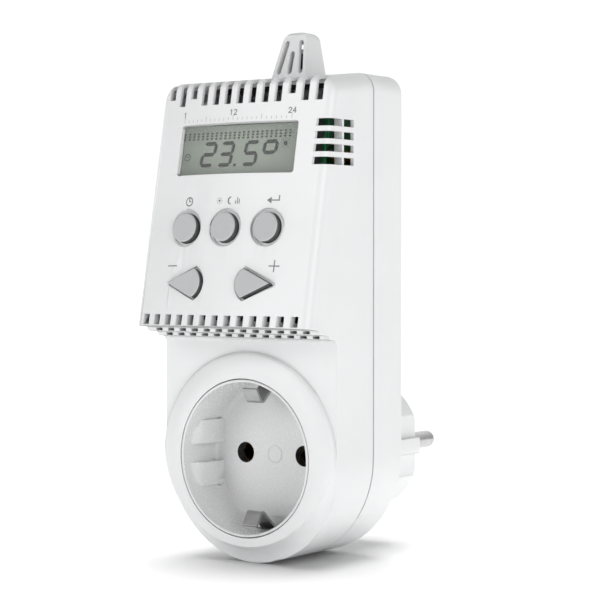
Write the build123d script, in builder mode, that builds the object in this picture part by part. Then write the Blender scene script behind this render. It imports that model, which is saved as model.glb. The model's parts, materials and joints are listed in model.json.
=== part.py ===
from build123d import *
from math import atan2, cos, sin
import os

os.makedirs("parts", exist_ok=True)

# Plug-in programmable thermostat timer: a socket in front, a plug behind, a sloping control panel above.
# Millimetres. The origin is the centre of the plug's end face, midway between the two pins.
# +X is to the right seen from the front, +Y is into the wall outlet, +Z is up.

# ---- casing ----
WIDTH = 55.0
HALF = WIDTH / 2
TOP_Z = 99.8
TOP_CORNER = 5.0
WALL = 2.0
FACE_Y = -55.3  # flat front around the socket
SEAM_Y = -38.6  # rear edge of the front shell
SEAM_GAP = 0.6
TOP_FALL = 0.115  # fall of the front shell's top towards the front, per millimetre
REAR_Y = -23.7
REAR_EDGE = 1.6
TONGUE_DEPTH = 3.0  # how far the rear shell's tongue enters the front shell
TONGUE_INSET = 2.1
TONGUE_WALL = 1.3

# ---- sloping control panel ----
CREASE_BOTTOM = (-68.0, 34.1)  # Y and Z of the panel's side edge at its foot
CREASE_TOP = (-56.3, 94.9)
PANEL_BULGE = 2.36  # how far the middle of the panel stands in front of its side edges
PANEL_EDGE = 2.4  # rounding of the panel's rim
SLOPE = atan2(CREASE_TOP[0] - CREASE_BOTTOM[0], CREASE_TOP[1] - CREASE_BOTTOM[1])
PANEL_ORIGIN = (0, *CREASE_BOTTOM)
PANEL = Plane(origin=PANEL_ORIGIN, x_dir=(1, 0, 0), z_dir=(0, -cos(SLOPE), sin(SLOPE)))
SLOPE_SECTION = Plane(origin=PANEL_ORIGIN, x_dir=(1, 0, 0), z_dir=(0, sin(SLOPE), cos(SLOPE)))
PANEL_REACH = 90.0
# The underside falls towards the back in three steps with slightly slanted treads, Y and Z.
STEP_OUTER = [(-90.0, 37.0), (-68.0, 34.3), (-63.1, 33.7), (-62.9, 32.7), (-58.8, 32.3), (-58.6, 31.4),
              (-56.0, 31.1), (-55.8, 30.4), (FACE_Y, 30.3)]
STEP_INNER = [(-53.3, 32.4), (-58.8, 33.8), (-63.1, 34.9), (-68.0, 36.1), (-90.0, 36.1)]

# ---- vents ----
SLOT_COUNT = 13
SLOT_PITCH = 3.93
SLOT_WIDTH = 2.1
TOP_SLOT_Z = 91.6
TOP_SLOT_BACK_Y = -52.0
SHORT_SLOTS = (0, 2, 10)
SHORT_RISE = 1.9
VENT_WALL = 1.0  # the wall is thinner around the vents
TOP_POCKET_Z = 90.4
# Openings of the underside: front and back Y, bottom and top Z; one row in the panel's foot, two in the risers.
FOOT_SLOTS = [(-80.0, -60.0, 34.65, 37.3), (-63.5, -53.0, 32.85, 33.6), (-59.2, -53.0, 31.5, 32.2)]
SIDE_SLOT_FIRST_Z = 85.9
SIDE_SLOT_PITCH = 3.24
SIDE_SLOT_HEIGHT = 1.9
SIDE_SLOT_X = 23.6
SIDE_SLOT_Y = {-1: (-52.0, -43.4), 1: (-80.0, -47.6)}  # the left-hand row lies further back
SIDE_POCKET_Z = (74.4, 87.8)
RIB_X = 24.6
RIB_Y = {-1: (-48.3, -47.5), 1: (-52.1, -51.3)}

# ---- display ----
WINDOW_WIDTH = 37.3
WINDOW_HEIGHT = 13.5
WINDOW_CORNER = 0.8
WINDOW_S = 46.4  # distance up the panel from its foot
LENS = (0.35, 1.15)  # extent along the panel's outward normal
GLASS = (-2.1, 0.1)
GLASS_WIDTH = 37.0
GLASS_HEIGHT = 13.2
FRAME = (-6.9, -1.35)
BOARD = (-8.6, -7.0)

# ---- keys ----
KEY_PITCH = 12.9
KEY_S = 25.6
KEY_RADIUS = 3.8
KEY_HOLE_GAP = 0.2
KEY_RING_RADIUS = 5.0
KEY_RING_DEPTH = 0.8
KEY_RISE = 1.2  # height of the keys above the panel
KEY_FLANGE = (-2.2, -1.2)
KEY_FOOT = -2.9
KEY_STEM_RADIUS = 1.7
ARROW_S = 11.1
ARROW_CENTRE_X = 10.0
ARROW_ARC_RADIUS = 5.0
ARROW_SHOULDER = (7.9, 4.5)
ARROW_TIP_X = 18.0
ARROW_TIP_RADIUS = 0.6
ARROW_INSET = 0.65
SWITCH_SIDE = 6.0
SWITCH_TOP = -3.5
PLUNGER_BACK = -5.8
PLUNGER_GAP = 0.08

# ---- socket (CEE 7/3 pattern) and plug (4.8 mm pins at 19 mm) ----
PIN_SPACING = 19.0
PIN_X = PIN_SPACING / 2
PIN_RADIUS = 2.4
PIN_LENGTH = 19.0
COLLAR_RADIUS = HALF
COLLAR_STEP = 0.9
LIP_Y = -57.9
LIP_RADIUS = 20.7
INSERT_RADIUS = 20.45
INSERT_BACK_RADIUS = 22.2
RECESS_LIP_RADIUS = 19.75
RECESS_RADIUS = 19.3
RECESS_DEPTH = 14.0
FLOOR_Y = LIP_Y + RECESS_DEPTH
INSERT_BACK_Y = -41.2
PIN_HOLE_RADIUS = 2.75
CONTACT_END_Y = -31.0
GUIDE_Z = (2.5, 8.8)
GUIDE_X = 16.7
CLIP_WIDTH = 4.6
CLIP_THICKNESS = 0.7
PLUG_RADIUS = 18.5
PLUG_FLAT_X = 16.4
PLUG_GROOVE_Z = (2.15, 8.3)
PLUG_BORE_RADIUS = 14.0
PLUG_SPIGOT_RADIUS = 16.0
PIN_NECK_RADIUS = 2.0
PLUG_END_WALL = 3.0
EARTH_GROOVE_WIDTH = 6.8
EARTH_GROOVE_Z = 16.2

# ---- boards, fixings ----
POWER_BOARD_Y = (-31.6, -30.0)
POWER_BOARD_Z = (34.0, 90.0)
POWER_BOARD_HALF = 23.0
CASE_SCREWS = [(-22.4, 29.5), (22.4, 29.5), (-21.2, 94.6), (21.2, 94.6)]
CASE_POST_RADIUS = 3.0
CASE_SCREW_RADIUS = 1.4
POWER_SCREWS = [(-20.0, 38.0), (20.0, 38.0), (-20.0, 86.0), (20.0, 86.0)]
DISPLAY_SCREWS = [(-20.0, 8.0), (20.0, 8.0), (-20.0, 33.0), (20.0, 33.0)]
SMALL_POST_RADIUS = 1.9
SMALL_SCREW_RADIUS = 0.9

# ---- sensor cap ----
CAP_WIDTH = 11.0
CAP_TOP_WIDTH = 7.0
CAP_Y = (-37.7, -27.7)
CAP_TOP_Y = (-34.0, -28.4)
CAP_HEIGHT = 12.4
CAP_SPLIT_Y = -30.2
CAP_WALL = 1.1
SENSOR_Y = -32.6


def publish(part, name):
    """Labels a finished piece and writes its file."""
    part.label = name
    export_step(part, f"parts/{name}.step")


def front_plane(y):
    """Plane square to the plug axis at depth y, facing forwards."""
    return Plane.XZ.offset(-y)


def casing_outline(y, inset=0.0):
    """Outline of the casing seen from the front: round below, square shoulders above."""
    half = HALF - inset
    height = TOP_Z - inset
    with BuildSketch(front_plane(y)) as outline:
        Circle(half)
        with Locations((0, height / 2)):
            Rectangle(2 * half, height)
        fillet(outline.vertices().group_by(Axis.Y)[-1], TOP_CORNER - inset)
    return outline.sketch


def front_block(y, inset, length):
    """Body of the front shell from depth y forwards: its top falls towards the front."""
    half = HALF - inset
    height = TOP_Z - inset + TOP_FALL * (y - SEAM_Y)
    middle = TOP_Z / 2
    with BuildPart() as block:
        with BuildSketch(front_plane(y)):
            Circle(half)
            with Locations((0, (middle + 10) / 2)):
                Rectangle(2 * half, middle + 10)
        extrude(amount=length)
        with BuildSketch(front_plane(y)) as upper:
            with Locations((0, (middle + height) / 2)):
                Rectangle(2 * half, height - middle)
            fillet(upper.vertices().group_by(Axis.Y)[-1], TOP_CORNER - inset)
        extrude(amount=length, dir=(0, -1, -TOP_FALL))
    return block.part


def panel_section(inset=0.0):
    """Section of the casing square to the panel's slope, with a shallow arc in front."""
    with BuildSketch(SLOPE_SECTION) as section:
        with BuildLine():
            ThreePointArc((-HALF, inset), (0, inset - PANEL_BULGE), (HALF, inset))
            Polyline((HALF, inset), (HALF, 70), (-HALF, 70), (-HALF, inset))
        make_face()
    return section.sketch


def panel_height(x):
    """Height of the panel's face above the plane of its side edges, at a distance x from the middle."""
    return PANEL_BULGE * (1 - (x / HALF) ** 2)


def arrow_outline(side, height, inset=0.0):
    """Outline of an arrow key: a round back and two straight edges meeting at the tip; side is -1 or 1."""
    shoulder_x, shoulder_y = ARROW_SHOULDER
    back_x = ARROW_CENTRE_X - ARROW_ARC_RADIUS
    with BuildSketch(PANEL.offset(height)) as outline:
        with BuildLine():
            upper = (side * shoulder_x, ARROW_S + shoulder_y)
            lower = (side * shoulder_x, ARROW_S - shoulder_y)
            tip = (side * ARROW_TIP_X, ARROW_S)
            ThreePointArc(upper, (side * back_x, ARROW_S), lower)
            Polyline(lower, tip, upper)
        make_face()
        fillet(outline.vertices().sort_by(Axis.X)[0 if side < 0 else -1], ARROW_TIP_RADIUS)
        if inset > 0:
            offset(amount=-inset, mode=Mode.REPLACE)
    return outline.sketch


def round_outline(x, height, radius):
    """Round outline on the panel at x, at the row of the round keys."""
    with BuildSketch(PANEL.offset(height)) as outline:
        with Locations((x, KEY_S)):
            Circle(radius)
    return outline.sketch


def panel_box(x, s, size_x, size_s, reach):
    """Rectangular piece parallel to the panel, between two distances along the panel's normal."""
    with BuildPart() as piece:
        with BuildSketch(PANEL.offset(reach[0])):
            with Locations((x, s)):
                Rectangle(size_x, size_s)
        extrude(amount=reach[1] - reach[0])
    return piece.part


def strip(points, bend, width, thickness):
    """Bent strip of metal: a path in the YZ plane given a thickness, as wide as width along X."""
    with BuildPart() as piece:
        with BuildSketch(Plane.YZ):
            with BuildLine():
                path = FilletPolyline(*points, radius=bend)
            trace(path, line_width=thickness)
        extrude(amount=width / 2, both=True)
    return piece.part


def lead(points, bend, radius):
    """Insulated lead along straight runs joined by arcs."""
    with BuildPart() as piece:
        with BuildLine() as route:
            FilletPolyline(*points, radius=bend)
        with BuildSketch(Plane(origin=points[0], z_dir=route.line % 0)):
            Circle(radius)
        sweep()
    return piece.part


# ---- front shell ----
with BuildPart() as front_cavity:
    add(front_block(SEAM_Y + 1, WALL, 60))
    extrude(panel_section(WALL), amount=PANEL_REACH, both=True, mode=Mode.INTERSECT)
    with BuildSketch(Plane.YZ):
        Polygon((-90, -40), (FACE_Y + WALL, -40), *STEP_INNER, align=None)
    extrude(amount=HALF, both=True, mode=Mode.SUBTRACT)

with BuildPart() as vent_space:
    with Locations((0, -60.8, (TOP_POCKET_Z + TOP_Z) / 2)):
        Box(50.8, 20, TOP_Z - TOP_POCKET_Z)
    with Locations((0, -54, sum(SIDE_POCKET_Z) / 2)):
        Box(2 * HALF, 19, SIDE_POCKET_Z[1] - SIDE_POCKET_Z[0])

with BuildPart() as vent_pockets:
    # Inside the casing, behind the vents of the top and of both sides.
    add(front_block(SEAM_Y, VENT_WALL, 60))
    extrude(panel_section(VENT_WALL), amount=PANEL_REACH, both=True, mode=Mode.INTERSECT)
    add(vent_space.part, mode=Mode.INTERSECT)
    with Locations((0, -54, sum(SIDE_POCKET_Z) / 2)):
        Box(2 * SIDE_SLOT_X - 2, 30, SIDE_POCKET_Z[1] - SIDE_POCKET_Z[0], mode=Mode.SUBTRACT)

with BuildPart() as lower_shoulder:
    # The edge below the socket is rounded more and more towards the bottom of the casing.
    shift = 4.4
    round_radius = 4.6
    with BuildSketch(Plane.XY.offset(shift)):
        with BuildLine():
            inner = HALF - 0.2
            outer = inner + round_radius
            depth = LIP_Y + round_radius
            RadiusArc((inner, LIP_Y), (outer, depth), round_radius, short_sagitta=True)
            Polyline((outer, depth), (outer + 6, depth), (outer + 6, LIP_Y - 3), (inner, LIP_Y - 3), (inner, LIP_Y))
        make_face()
    revolve(axis=Axis((0, 0, shift), (0, 1, 0)))
    with Locations((0, (LIP_Y + FACE_Y) / 2, 30)):
        Box(100, 40, 60, mode=Mode.SUBTRACT)

with BuildPart() as front_housing:
    add(front_block(SEAM_Y, 0, 50))
    extrude(panel_section(), amount=PANEL_REACH, both=True, mode=Mode.INTERSECT)
    rim_face = front_housing.faces().filter_by(GeomType.CYLINDER).sort_by(Axis.Y)[0]
    fillet(rim_face.edges(), PANEL_EDGE)
    with BuildSketch(Plane.YZ):
        Polygon((-90, -40), *STEP_OUTER, (FACE_Y, -40), align=None)
    extrude(amount=HALF + 1, both=True, mode=Mode.SUBTRACT)
    # Collar around the socket: a small step, then a shallow dome up to the lip.
    with BuildSketch(Plane.XY):
        with BuildLine():
            Line((COLLAR_RADIUS, FACE_Y + 1), (COLLAR_RADIUS, FACE_Y - COLLAR_STEP))
            ThreePointArc((COLLAR_RADIUS, FACE_Y - COLLAR_STEP), (24.4, LIP_Y + 0.55), (LIP_RADIUS, LIP_Y + 0.15))
            Polyline((LIP_RADIUS, LIP_Y + 0.15), (LIP_RADIUS, FACE_Y + 1), (COLLAR_RADIUS, FACE_Y + 1))
        make_face()
    revolve(axis=Axis.Y)
    add(lower_shoulder.part, mode=Mode.SUBTRACT)
    with BuildSketch(front_plane(FACE_Y + 3)):
        Circle(LIP_RADIUS)
    extrude(amount=10, mode=Mode.SUBTRACT)
    add(front_cavity.part, mode=Mode.SUBTRACT)
    add(vent_pockets.part, mode=Mode.SUBTRACT)
    # Display opening and key openings, cut square to the panel.
    with BuildSketch(PANEL.offset(-6)):
        with Locations((0, WINDOW_S)):
            RectangleRounded(WINDOW_WIDTH, WINDOW_HEIGHT, WINDOW_CORNER)
    extrude(amount=20, mode=Mode.SUBTRACT)
    for key_x in (-KEY_PITCH, 0, KEY_PITCH):
        ring_floor = panel_height(key_x) - KEY_RING_DEPTH
        extrude(round_outline(key_x, ring_floor, KEY_RING_RADIUS), amount=6, mode=Mode.SUBTRACT)
        extrude(round_outline(key_x, -6, KEY_RADIUS + KEY_HOLE_GAP), amount=12, mode=Mode.SUBTRACT)
    for side in (-1, 1):
        ring_floor = panel_height(ARROW_CENTRE_X) - KEY_RING_DEPTH
        extrude(arrow_outline(side, ring_floor), amount=6, mode=Mode.SUBTRACT)
        extrude(arrow_outline(side, -6, ARROW_INSET - KEY_HOLE_GAP), amount=12, mode=Mode.SUBTRACT)
    # Thirteen vents over the top edge and thirteen through the stepped underside.
    for index in range(SLOT_COUNT):
        slot_x = (index - SLOT_COUNT // 2) * SLOT_PITCH
        slot_foot = TOP_SLOT_Z + (SHORT_RISE if index in SHORT_SLOTS else 0)
        with Locations((slot_x, (TOP_SLOT_BACK_Y - 80) / 2, (slot_foot + TOP_Z + 2) / 2)):
            Box(SLOT_WIDTH, 80 + TOP_SLOT_BACK_Y, TOP_Z + 2 - slot_foot, mode=Mode.SUBTRACT)
        for front_y, back_y, bottom_z, top_z in FOOT_SLOTS:
            with Locations((slot_x, (front_y + back_y) / 2, (bottom_z + top_z) / 2)):
                Box(SLOT_WIDTH, back_y - front_y, top_z - bottom_z, mode=Mode.SUBTRACT)
    for side, (slot_front, slot_back) in SIDE_SLOT_Y.items():
        for index in range(4):
            slot_z = SIDE_SLOT_FIRST_Z - index * SIDE_SLOT_PITCH
            slot_middle = side * (SIDE_SLOT_X + 35) / 2
            with Locations((slot_middle, (slot_front + slot_back) / 2, slot_z)):
                Box(35 - SIDE_SLOT_X, slot_back - slot_front, SIDE_SLOT_HEIGHT, mode=Mode.SUBTRACT)
        with Locations((side * (RIB_X + HALF - 0.5) / 2, sum(RIB_Y[side]) / 2, sum(SIDE_POCKET_Z) / 2)):
            Box(HALF - 0.5 - RIB_X, RIB_Y[side][1] - RIB_Y[side][0], 16)
    # Posts for the case screws and for the display board.
    for post_x, post_z in CASE_SCREWS:
        with BuildSketch(front_plane(SEAM_Y - TONGUE_DEPTH - 0.4)):
            with Locations((post_x, post_z)):
                Circle(CASE_POST_RADIUS + 0.4)
        extrude(amount=(47 if post_z > 60 else 54) + SEAM_Y - TONGUE_DEPTH - 0.4)
        with BuildSketch(front_plane(SEAM_Y - TONGUE_DEPTH - 0.4)):
            with Locations((post_x, post_z)):
                Circle(CASE_SCREW_RADIUS - 0.1)
        extrude(amount=7, mode=Mode.SUBTRACT)
    for post_x, post_s in DISPLAY_SCREWS:
        with BuildSketch(PANEL.offset(BOARD[1])):
            with Locations((post_x, post_s)):
                Circle(SMALL_POST_RADIUS)
        extrude(amount=panel_height(post_x) - 1 - BOARD[1])
        with BuildSketch(PANEL.offset(BOARD[1])):
            with Locations((post_x, post_s)):
                Circle(SMALL_SCREW_RADIUS - 0.1)
        extrude(amount=5, mode=Mode.SUBTRACT)
publish(front_housing.part, "front_housing")

# ---- plug body: a cup whose shoulder rests on the back of the casing ----
with BuildPart() as plug_body:
    with BuildSketch(front_plane(0)):
        Circle(PLUG_RADIUS)
    extrude(amount=-REAR_Y)
    chamfer(plug_body.faces().sort_by(Axis.Y)[-1].edges(), 0.8)
    with BuildSketch(front_plane(1)):
        groove_middle = sum(PLUG_GROOVE_Z) / 2
        groove_height = PLUG_GROOVE_Z[1] - PLUG_GROOVE_Z[0]
        for side in (-1, 1):
            with Locations((side * (PLUG_FLAT_X + 2), groove_middle), (side * (PLUG_FLAT_X + 2), -groove_middle)):
                Rectangle(4, groove_height)
            with Locations((0, side * (EARTH_GROOVE_Z + 2))):
                Rectangle(EARTH_GROOVE_WIDTH, 4)
    extrude(amount=30, mode=Mode.SUBTRACT)
    with BuildSketch(front_plane(REAR_Y)):
        Circle(PLUG_SPIGOT_RADIUS)
    extrude(amount=WALL)
    with BuildSketch(front_plane(-PLUG_END_WALL)):
        Circle(PLUG_BORE_RADIUS)
    extrude(amount=30, mode=Mode.SUBTRACT)
    with BuildSketch(front_plane(1)):
        with Locations((-PIN_X, 0), (PIN_X, 0)):
            Circle(PIN_NECK_RADIUS + 0.05)
    extrude(amount=10, mode=Mode.SUBTRACT)
    for side in (-1, 1):
        with Locations((0, -19.7, side * 15.4)):
            Box(EARTH_GROOVE_WIDTH - 0.8, 4.6, 5, mode=Mode.SUBTRACT)
publish(plug_body.part, "plug_body")

# ---- rear shell ----
with BuildPart() as rear_housing:
    extrude(casing_outline(REAR_Y), amount=REAR_Y - SEAM_Y - SEAM_GAP)
    fillet(rear_housing.faces().sort_by(Axis.Y)[-1].edges(), REAR_EDGE)
    add(front_block(SEAM_Y + 0.1, TONGUE_INSET, TONGUE_DEPTH + 0.1))
    extrude(casing_outline(SEAM_Y + 2, TONGUE_INSET), amount=2)
    extrude(casing_outline(REAR_Y - WALL, WALL), amount=REAR_Y - WALL - SEAM_Y - 1.6, mode=Mode.SUBTRACT)
    extrude(casing_outline(REAR_Y - WALL, TONGUE_INSET + TONGUE_WALL), amount=REAR_Y - WALL - SEAM_Y,
            mode=Mode.SUBTRACT)
    add(front_block(SEAM_Y + 0.1, TONGUE_INSET + TONGUE_WALL, 10), mode=Mode.SUBTRACT)
    with BuildSketch(front_plane(REAR_Y + 1)):
        Circle(PLUG_SPIGOT_RADIUS + 0.05)
    extrude(amount=WALL + 2, mode=Mode.SUBTRACT)
    for post_x, post_z in CASE_SCREWS:
        with BuildSketch(front_plane(REAR_Y - 1)):
            with Locations((post_x, post_z)):
                Circle(CASE_POST_RADIUS)
        extrude(amount=REAR_Y - 1 - SEAM_Y + TONGUE_DEPTH)
        with BuildSketch(front_plane(REAR_Y + 1)):
            with Locations((post_x, post_z)):
                Circle(CASE_SCREW_RADIUS + 0.2)
        extrude(amount=30, mode=Mode.SUBTRACT)
        with BuildSketch(front_plane(REAR_Y + 1)):
            with Locations((post_x, post_z)):
                Circle(CASE_POST_RADIUS - 0.6)
        extrude(amount=5, mode=Mode.SUBTRACT)
    for post_x, post_z in POWER_SCREWS:
        with BuildSketch(front_plane(REAR_Y - 1)):
            with Locations((post_x, post_z)):
                Circle(SMALL_POST_RADIUS)
        extrude(amount=REAR_Y - 1 - POWER_BOARD_Y[1])
        with BuildSketch(front_plane(REAR_Y - 2)):
            with Locations((post_x, post_z)):
                Circle(SMALL_SCREW_RADIUS - 0.1)
        extrude(amount=10, mode=Mode.SUBTRACT)
    with BuildSketch(Plane.XY.offset(TOP_Z - 6)):
        with Locations((0, SENSOR_Y)):
            Rectangle(5, 3)
    extrude(amount=8, mode=Mode.SUBTRACT)
publish(rear_housing.part, "rear_housing")

# ---- socket insert: the round recess that a plug enters ----
with BuildPart() as guide_ribs:
    with BuildSketch(Plane.XY.offset(GUIDE_Z[0])):
        Polygon((GUIDE_X, FLOOR_Y + 1), (GUIDE_X, LIP_Y + 6.0), (19.4, LIP_Y + 3.4), (21, LIP_Y + 3.4),
                (21, FLOOR_Y + 1), align=None)
    extrude(amount=GUIDE_Z[1] - GUIDE_Z[0])
    mirror(about=Plane.YZ)
    mirror(about=Plane.XY)
    with BuildSketch(front_plane(FLOOR_Y + 2)):
        Circle(INSERT_RADIUS - 0.3)
    extrude(amount=RECESS_DEPTH + 4, mode=Mode.INTERSECT)

with BuildPart() as socket_insert:
    with BuildSketch(Plane.XY) as cup_section:
        Polygon((0, INSERT_BACK_Y), (INSERT_BACK_RADIUS, INSERT_BACK_Y), (INSERT_BACK_RADIUS, FACE_Y + WALL + 0.2),
                (INSERT_RADIUS, FACE_Y + WALL + 0.2), (INSERT_RADIUS, LIP_Y), (RECESS_LIP_RADIUS, LIP_Y),
                (RECESS_RADIUS, FLOOR_Y), (0, FLOOR_Y), align=None)
        rim_points = cup_section.vertices().group_by(Axis.Y)[0]
        fillet(rim_points, 0.34)
        corner = cup_section.vertices().sort_by_distance((RECESS_RADIUS, FLOOR_Y))[0]
        fillet(corner, 1.2)
    revolve(axis=Axis.Y)
    add(guide_ribs.part)
    with BuildSketch(front_plane(INSERT_BACK_Y + 1)):
        with Locations((-PIN_X, 0), (PIN_X, 0)):
            Circle(PIN_HOLE_RADIUS)
    extrude(amount=10, mode=Mode.SUBTRACT)
    for side in (-1, 1):
        with Locations((0, -46.1, side * 20)):
            Box(CLIP_WIDTH + 1.2, 5.0, 7.0, mode=Mode.SUBTRACT)
    # A faint raised ring in the middle of the floor, where the moulding was gated.
    with BuildSketch(front_plane(FLOOR_Y + 0.1)):
        Circle(2.4)
        Circle(2.1, mode=Mode.SUBTRACT)
    extrude(amount=0.22)
publish(socket_insert.part, "socket_insert")

# ---- earthing path ----
CLIP_POINTS = [(-54.9, 17.9), (-52.5, 13.9), (-46.6, 18.9), (-45.5, 22.9)]
for name, side in (("earth_clip_upper", 1), ("earth_clip_lower", -1)):
    with BuildPart() as earth_clip:
        add(strip([(y, side * z) for y, z in CLIP_POINTS], 1.1, CLIP_WIDTH, CLIP_THICKNESS))
        fillet(earth_clip.edges().filter_by(Axis.X).group_by(Axis.Y)[0], 0.2)
    publish(earth_clip.part, name)

with BuildPart() as earth_strap:
    strap_points = [(-44.2, 23.1), (-39.9, 23.1), (-39.9, -23.1), (-44.2, -23.1)]
    add(strip(strap_points, 1.2, CLIP_WIDTH, 0.8))
    for side in (-1, 1):
        with Locations((0, (-39.9 - 27.2) / 2, side * 12)):
            Box(CLIP_WIDTH, 39.9 - 27.2, 0.8)
publish(earth_strap.part, "earth_strap")

EARTH_POINTS = [(-1.6, 16.6), (-10.0, 18.3), (-18.6, 16.8), (-19.4, 12.0), (-27.0, 12.0)]
for name, side in (("plug_earth_upper", 1), ("plug_earth_lower", -1)):
    publish(strip([(y, side * z) for y, z in EARTH_POINTS], 0.9, 5.2, 0.8), name)

# ---- pins and socket contacts ----
for name, side in (("plug_pin_left", -1), ("plug_pin_right", 1)):
    with BuildPart() as plug_pin:
        with BuildSketch(front_plane(PIN_LENGTH)):
            with Locations((side * PIN_X, 0)):
                Circle(PIN_RADIUS)
        extrude(amount=PIN_LENGTH)
        fillet(plug_pin.edges().group_by(Axis.Y)[-1], 1.9)
        with BuildSketch(front_plane(0)):
            with Locations((side * PIN_X, 0)):
                Circle(PIN_NECK_RADIUS)
        extrude(amount=8)
        with BuildSketch(front_plane(-PLUG_END_WALL)):
            with Locations((side * PIN_X, 0)):
                Circle(3.6)
        extrude(amount=1.4)
    publish(plug_pin.part, name)

for name, side in (("socket_contact_left", -1), ("socket_contact_right", 1)):
    with BuildPart() as socket_contact:
        with BuildSketch(front_plane(CONTACT_END_Y)):
            with Locations((side * PIN_X, 0)):
                Circle(3.3)
                Circle(PIN_RADIUS + 0.1, mode=Mode.SUBTRACT)
        extrude(amount=CONTACT_END_Y - INSERT_BACK_Y)
        with Locations((side * PIN_X, INSERT_BACK_Y + 3, 0)):
            Box(8, 6, 0.8, mode=Mode.SUBTRACT)
    publish(socket_contact.part, name)

# ---- leads between pins, board and contacts ----
LEAD_RADIUS = 1.1
for name, side in (("live_lead", -1), ("neutral_lead", 1)):
    route = [(side * PIN_X, -8.0, 0), (side * PIN_X, -13, 0), (side * 7.5, -19, 7), (side * 7.5, -28, 9),
             (side * 13, -28, 30), (side * 13, -28, 38.5), (side * 13, POWER_BOARD_Y[1], 38.5)]
    publish(lead(route, 1.9, LEAD_RADIUS), name)
for name, side in (("load_lead", -1), ("return_lead", 1)):
    route = [(side * PIN_X, -35, 3.5), (side * PIN_X, -35, 22), (side * 7, -28, 31),
             (side * 7, -28, 38.5), (side * 7, POWER_BOARD_Y[1], 38.5)]
    publish(lead(route, 1.9, LEAD_RADIUS), name)

# ---- display stack ----
with BuildPart() as display_window:
    with BuildSketch(PANEL.offset(LENS[0])):
        with Locations((0, WINDOW_S)):
            RectangleRounded(WINDOW_WIDTH - 0.2, WINDOW_HEIGHT - 0.2, WINDOW_CORNER - 0.1)
    extrude(amount=LENS[1] - LENS[0])
publish(display_window.part, "display_window")

publish(panel_box(0, WINDOW_S, GLASS_WIDTH, GLASS_HEIGHT, GLASS), "lcd_glass")

with BuildPart() as lcd_frame:
    with BuildSketch(PANEL.offset(FRAME[0])):
        with Locations((0, WINDOW_S)):
            RectangleRounded(42.0, 17.2, 1.0)
            Rectangle(GLASS_WIDTH + 0.2, GLASS_HEIGHT + 0.2, mode=Mode.SUBTRACT)
    extrude(amount=FRAME[1] - FRAME[0])
publish(lcd_frame.part, "lcd_frame")

with BuildPart() as elastomer_strips:
    for offset_s in (-5.5, 5.5):
        add(panel_box(0, WINDOW_S + offset_s, 36, 1.8, (BOARD[1], GLASS[0])))
publish(elastomer_strips.part, "elastomer_strips")

with BuildPart() as display_board:
    add(panel_box(0, 30.75, 43.0, 51.5, BOARD))
    with BuildSketch(PANEL.offset(BOARD[0] - 1)):
        with Locations(*DISPLAY_SCREWS):
            Circle(SMALL_SCREW_RADIUS + 0.1)
    extrude(amount=4, mode=Mode.SUBTRACT)
publish(display_board.part, "display_board")

with BuildPart() as microcontroller:
    add(panel_box(0, 34, 9.0, 9.0, (BOARD[0] - 1.4, BOARD[0])))
    for turn in (0, 1):
        for edge in (-1, 1):
            for index in range(8):
                along = (index - 3.5) * 1.0
                across = edge * 5.1
                pin_x, pin_s = (along, across) if turn else (across, along)
                size_x, size_s = (0.4, 1.3) if turn else (1.3, 0.4)
                add(panel_box(pin_x, 34 + pin_s, size_x, size_s, (BOARD[0] - 0.5, BOARD[0])))
publish(microcontroller.part, "microcontroller")

with BuildPart() as crystal:
    with BuildSketch(PANEL.offset(BOARD[0] - 2.6)):
        with Locations((12, 34)):
            SlotOverall(8.0, 3.4)
    extrude(amount=2.6)
publish(crystal.part, "crystal")

with BuildPart() as battery_holder:
    with BuildSketch(PANEL.offset(BOARD[0] - 0.7)):
        with Locations((0, 16)):
            Circle(11.0)
    extrude(amount=0.7)
    with BuildSketch(PANEL.offset(BOARD[0] - 3.4)):
        with Locations((0, 16)):
            Circle(11.0)
            Circle(10.2, mode=Mode.SUBTRACT)
            Rectangle(30, 12, mode=Mode.SUBTRACT)
    extrude(amount=2.7)
publish(battery_holder.part, "battery_holder")

with BuildPart() as backup_battery:
    with BuildSketch(PANEL.offset(BOARD[0] - 3.9)):
        with Locations((0, 16)):
            Circle(10.0)
    extrude(amount=3.2)
    fillet(backup_battery.edges().group_by(Axis.Y)[-1], 0.4)
publish(backup_battery.part, "backup_battery")

# ---- keys, each with the plunger of the switch under it ----
KEY_PLACES = {"function": -KEY_PITCH, "mode": 0.0, "enter": KEY_PITCH}
ARROW_PLACES = {"minus": -1, "plus": 1}
SWITCH_PLACES = {name: (x, KEY_S) for name, x in KEY_PLACES.items()}
SWITCH_PLACES.update({name: (side * 10.5, ARROW_S) for name, side in ARROW_PLACES.items()})


def key_stem(name):
    """Round stem under a key, down to the plunger that it presses."""
    with BuildPart() as stem:
        with BuildSketch(PANEL.offset(KEY_FOOT)):
            with Locations(SWITCH_PLACES[name]):
                Circle(KEY_STEM_RADIUS)
        extrude(amount=KEY_FLANGE[0] - KEY_FOOT + 0.2)
    return stem.part


for name, x in KEY_PLACES.items():
    with BuildPart() as round_key:
        key_top = panel_height(x) + KEY_RISE
        extrude(round_outline(x, KEY_FLANGE[0], KEY_RADIUS), amount=key_top - KEY_FLANGE[0])
        fillet(round_key.edges().group_by(Axis.Y)[0], 0.45)
        extrude(round_outline(x, KEY_FLANGE[0], 4.9), amount=KEY_FLANGE[1] - KEY_FLANGE[0])
        add(key_stem(name))
    publish(round_key.part, f"key_{name}")

for name, side in ARROW_PLACES.items():
    with BuildPart() as arrow_key:
        key_top = panel_height(ARROW_CENTRE_X) + KEY_RISE
        extrude(arrow_outline(side, KEY_FLANGE[0], ARROW_INSET), amount=key_top - KEY_FLANGE[0])
        fillet(arrow_key.faces().sort_by(Axis.Y)[0].edges(), 0.35)
        extrude(arrow_outline(side, KEY_FLANGE[0]), amount=KEY_FLANGE[1] - KEY_FLANGE[0])
        add(key_stem(name))
    publish(arrow_key.part, f"key_{name}")

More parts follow.
